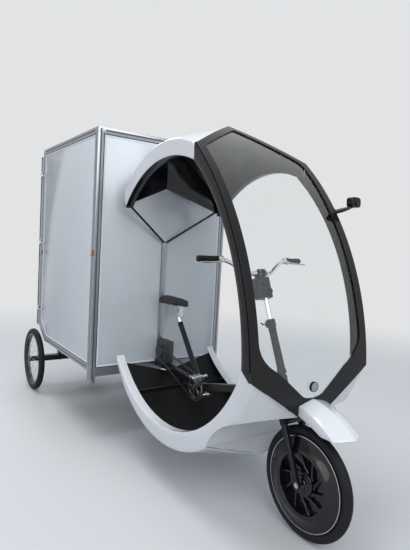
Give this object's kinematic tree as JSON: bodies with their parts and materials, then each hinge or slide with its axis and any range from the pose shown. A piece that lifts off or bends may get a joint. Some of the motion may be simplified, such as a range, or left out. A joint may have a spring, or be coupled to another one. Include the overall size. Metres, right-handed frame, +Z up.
{
  "type": "cargo tricycle",
  "caption": "Pedal cargo tricycle with a faceted half-open rider's shell, curved windscreen, steered front wheel and a tall framed cargo box with rear doors.",
  "frame": {"origin": "on the ground below the centre of the bounding box, halfway between the axles on the centre line", "axes": "+X forward along the length, +Y to the rider's left, +Z up"},
  "size_m": [3.15, 1.116, 2],
  "materials": {
    "aluminium_rail": "satin anodised",
    "panel_white": "gloss white sheet",
    "plywood": "film-faced plywood",
    "steel_bright": "satin",
    "frame_black": "satin black paint",
    "cast_metal": "cast housing",
    "alloy_bright": "polished",
    "alloy_dark": "black anodised",
    "saddle_black": "matt cover",
    "chain_steel": "oiled steel",
    "shell_white": "gloss white moulding",
    "lining_black": "matt black lining",
    "screen_clear": "clear sheet",
    "border_black": "gloss black",
    "lamp_clear": "clear lens",
    "lamp_amber": "amber lens",
    "lamp_red": "red lens",
    "chrome_bright": "polished chrome",
    "rubber_black": "ribbed rubber",
    "console_dark": "dark housing",
    "tyre_black": "tyre rubber",
    "rim_dark": "dark satin paint",
    "rim_alloy": "alloy rim"
  },
  "bodies": {
    "chassis": {"box_frame": "aluminium_rail", "box_panel_left": "panel_white", "box_panel_right": "panel_white", "box_panel_front": "panel_white", "box_roof": "panel_white", "box_floor": "plywood", "hinges_left": "steel_bright", "hinges_right": "steel_bright", "box_subframe": "frame_black", "rear_axle": "frame_black", "motor_block": "cast_metal", "front_frame": "frame_black", "seat_post": "alloy_bright", "saddle": "saddle_black", "gearbox": "cast_metal", "chain": "chain_steel", "hood_shell": "shell_white", "tub_shell": "shell_white", "hood_back": "lining_black", "hood_mast": "aluminium_rail", "wheel_arch": "shell_white", "front_fender": "shell_white", "windscreen": "screen_clear", "cowl": "border_black", "screen_header": "border_black", "pillar_left": "border_black", "pillar_right": "border_black", "headlamp": "lamp_clear", "side_markers": "lamp_amber", "rear_lamps": "lamp_red", "mirror_arm": "border_black"},
    "steering": {"fork": "frame_black", "stem": "chrome_bright", "handlebar": "alloy_dark", "grip_left": "rubber_black", "grip_right": "rubber_black", "brake_lever_left": "alloy_bright", "brake_lever_right": "alloy_bright", "console": "console_dark"},
    "front_wheel": {"front_tyre": "tyre_black", "front_rim": "rim_dark"},
    "rear_wheel_left": {"rear_tyre_left": "tyre_black", "rear_rim_left": "rim_alloy"},
    "rear_wheel_right": {"rear_tyre_right": "tyre_black", "rear_rim_right": "rim_alloy"},
    "left_door": {"door_left": "panel_white"},
    "right_door": {"door_right": "panel_white", "door_lock_bar": "steel_bright"},
    "cranks": {"crankset": "alloy_bright", "pedal_left": "alloy_bright", "pedal_right": "alloy_bright"}
  },
  "joints": [
    {"name": "rear_left_spin", "type": "hinge", "parent": "chassis", "child": "rear_wheel_left", "pos_m": [-1.32, 0.513, 0.255], "axis": [0, 1, 0], "continuous": true},
    {"name": "rear_right_spin", "type": "hinge", "parent": "chassis", "child": "rear_wheel_right", "pos_m": [-1.32, -0.513, 0.255], "axis": [0, 1, 0], "continuous": true},
    {"name": "steer", "type": "hinge", "parent": "chassis", "child": "steering", "pos_m": [1.32, 0, 0.255], "axis": [-0.4035, 0, 0.915], "range_deg": [-35, 35]},
    {"name": "front_spin", "type": "hinge", "parent": "steering", "child": "front_wheel", "pos_m": [1.32, 0, 0.255], "axis": [0, 1, 0], "continuous": true},
    {"name": "left_door_swing", "type": "hinge", "parent": "chassis", "child": "left_door", "pos_m": [-1.256, 0.51, 1.25], "axis": [0, 0, -1], "range_deg": [0, 180]},
    {"name": "right_door_swing", "type": "hinge", "parent": "chassis", "child": "right_door", "pos_m": [-1.256, -0.51, 1.25], "axis": [0, 0, 1], "range_deg": [0, 180]},
    {"name": "crank_spin", "type": "hinge", "parent": "chassis", "child": "cranks", "pos_m": [0.45, 0, 0.45], "axis": [0, 1, 0], "continuous": true}
  ]
}
